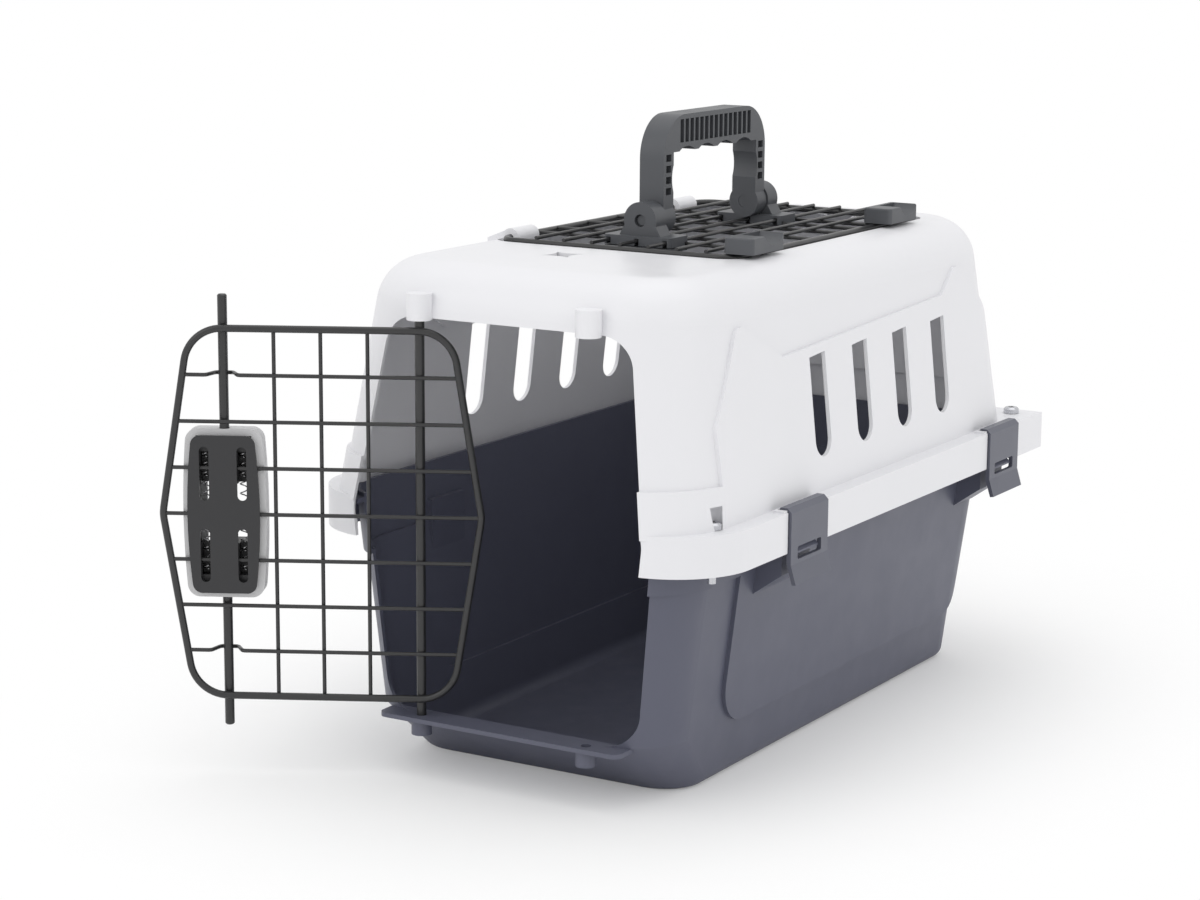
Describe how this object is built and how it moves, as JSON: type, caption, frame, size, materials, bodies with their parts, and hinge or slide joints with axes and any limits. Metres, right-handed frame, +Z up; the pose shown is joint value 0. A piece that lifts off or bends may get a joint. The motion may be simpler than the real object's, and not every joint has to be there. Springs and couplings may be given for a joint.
{
  "type": "top-load pet carrier",
  "caption": "Two-shell plastic pet carrier with a wire front door, a wire roof door with a folding handle, side clips and a squeeze latch.",
  "frame": {"origin": "middle of the flat base on the floor, with the width and length of the shells centred on it", "axes": "+Z up, -Y out through the front doorway, +X to the right of someone who stands outside and looks at that doorway"},
  "size_m": [0.3569, 0.5741, 0.4045],
  "materials": {
    "tub_plastic": "fine moulded texture",
    "canopy_plastic": "smooth moulded",
    "clip_plastic": "smooth moulded",
    "handle_plastic": "smooth moulded",
    "latch_plastic": "smooth moulded",
    "latch_plate_plastic": "smooth moulded",
    "coated_wire": "powder coated",
    "rod_steel": "powder coated",
    "spring_steel": "drawn wire",
    "bolt_steel": "plated"
  },
  "bodies": {
    "carrier": {"bottom_shell": "tub_plastic", "top_shell": "canopy_plastic", "security_bolts": "bolt_steel", "security_nuts": "bolt_steel"},
    "front_door": {"door_wire_frame": "coated_wire", "latch_housing": "latch_plastic", "latch_back_plate": "latch_plate_plastic"},
    "upper_latch": {"upper_latch_pull": "latch_plate_plastic", "upper_latch_rod": "rod_steel", "upper_latch_springs": "spring_steel"},
    "lower_latch": {"lower_latch_pull": "latch_plate_plastic", "lower_latch_rod": "rod_steel", "lower_latch_springs": "spring_steel"},
    "top_door": {"top_door_wire_frame": "coated_wire", "handle_brackets": "handle_plastic", "handle_clamps": "handle_plastic", "handle_clamp_screws": "bolt_steel"},
    "top_latch_front": {"top_latch_front": "handle_plastic"},
    "top_latch_rear": {"top_latch_rear": "handle_plastic"},
    "handle": {"handle_grip": "handle_plastic", "handle_pins": "handle_plastic"},
    "clip_front_right": {"clip_front_right": "clip_plastic"},
    "clip_rear_right": {"clip_rear_right": "clip_plastic"},
    "clip_front_left": {"clip_front_left": "clip_plastic"},
    "clip_rear_left": {"clip_rear_left": "clip_plastic"}
  },
  "joints": [
    {"name": "front_door_swing", "type": "hinge", "parent": "carrier", "child": "front_door", "pos_m": [-0.061, -0.2472, 0.1657], "axis": [0, 0, 1], "range_deg": [-10, 152]},
    {"name": "upper_latch_slide", "type": "slide", "parent": "front_door", "child": "upper_latch", "axis": [0, 0, -1], "range_m": [0, 0.016], "stiffness_N_per_m": 350, "springref_m": -0.008, "deforming": ["upper_latch_springs"]},
    {"name": "lower_latch_slide", "type": "slide", "parent": "front_door", "child": "lower_latch", "axis": [0, 0, 1], "range_m": [0, 0.016], "stiffness_N_per_m": 350, "springref_m": -0.008, "deforming": ["lower_latch_springs"]},
    {"name": "top_door_swing", "type": "hinge", "parent": "carrier", "child": "top_door", "pos_m": [-0.0915, 0.027, 0.322], "axis": [0, -1, 0], "range_deg": [0, 105]},
    {"name": "top_latch_front_slide", "type": "slide", "parent": "top_door", "child": "top_latch_front", "axis": [-1, 0, 0], "range_m": [0, 0.0065]},
    {"name": "top_latch_rear_slide", "type": "slide", "parent": "top_door", "child": "top_latch_rear", "axis": [-1, 0, 0], "range_m": [0, 0.0065]},
    {"name": "handle_fold", "type": "hinge", "parent": "top_door", "child": "handle", "pos_m": [0, 0, 0.338], "axis": [0, 1, 0], "range_deg": [-88, 88]},
    {"name": "clip_front_right_swing", "type": "hinge", "parent": "carrier", "child": "clip_front_right", "pos_m": [0.144, -0.131, 0.1734], "axis": [0, -1, 0], "range_deg": [0, 80]},
    {"name": "clip_rear_right_swing", "type": "hinge", "parent": "carrier", "child": "clip_rear_right", "pos_m": [0.144, 0.173, 0.1734], "axis": [0, -1, 0], "range_deg": [0, 80]},
    {"name": "clip_front_left_swing", "type": "hinge", "parent": "carrier", "child": "clip_front_left", "pos_m": [-0.144, -0.131, 0.1734], "axis": [0, 1, 0], "range_deg": [0, 80]},
    {"name": "clip_rear_left_swing", "type": "hinge", "parent": "carrier", "child": "clip_rear_left", "pos_m": [-0.144, 0.173, 0.1734], "axis": [0, 1, 0], "range_deg": [0, 80]}
  ]
}
